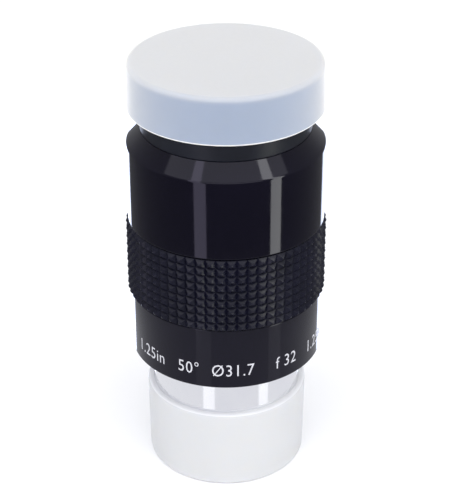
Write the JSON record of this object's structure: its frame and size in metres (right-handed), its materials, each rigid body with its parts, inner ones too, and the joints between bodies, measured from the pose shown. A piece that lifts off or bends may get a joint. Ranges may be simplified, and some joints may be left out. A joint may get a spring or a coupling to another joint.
{
  "type": "telescope eyepiece",
  "caption": "Telescope eyepiece: black cylindrical body with a pyramid-textured rubber grip, soft eyecup, chromed 1.25 in barrel and frosted dust caps at both ends.",
  "frame": {"origin": "on the optical axis in the plane of the barrel cap's underside, which the eyepiece stands on", "axes": "+Z along the optical axis from the telescope end towards the eye; +X and +Y across it, -Y being the side seen in the picture"},
  "size_m": [0.042, 0.042, 0.0923],
  "materials": {
    "chrome": "bright chrome plate on turned metal",
    "frosted_plastic": "frosted translucent soft plastic",
    "coated_glass": "polished, anti-reflection coated",
    "eyecup_rubber": "satin moulded rubber",
    "grip_rubber": "satin moulded rubber pyramids",
    "black_anodised": "gloss black anodised, turned",
    "blackened_metal": "matt black anodised"
  },
  "bodies": {
    "eyepiece": {"barrel": "chrome", "eye_lens_crown": "coated_glass", "eye_lens_flint": "coated_glass", "eyecup": "eyecup_rubber", "field_lens_crown": "coated_glass", "field_lens_flint": "coated_glass", "field_stop": "blackened_metal", "grip_ring": "grip_rubber", "housing": "black_anodised", "lens_cell": "blackened_metal", "lens_retaining_ring": "blackened_metal", "lens_spacer": "blackened_metal"},
    "eye_cap": {"eye_cap": "frosted_plastic"},
    "barrel_cap": {"barrel_cap": "frosted_plastic"}
  },
  "joints": [
    {"name": "eye_cap_slide", "type": "slide", "parent": "eyepiece", "child": "eye_cap", "axis": [0, 0, 1], "range_m": [0, 0.04]},
    {"name": "barrel_cap_slide", "type": "slide", "parent": "barrel_cap", "child": "eyepiece", "axis": [0, 0, 1], "range_m": [0, 0.05]}
  ]
}
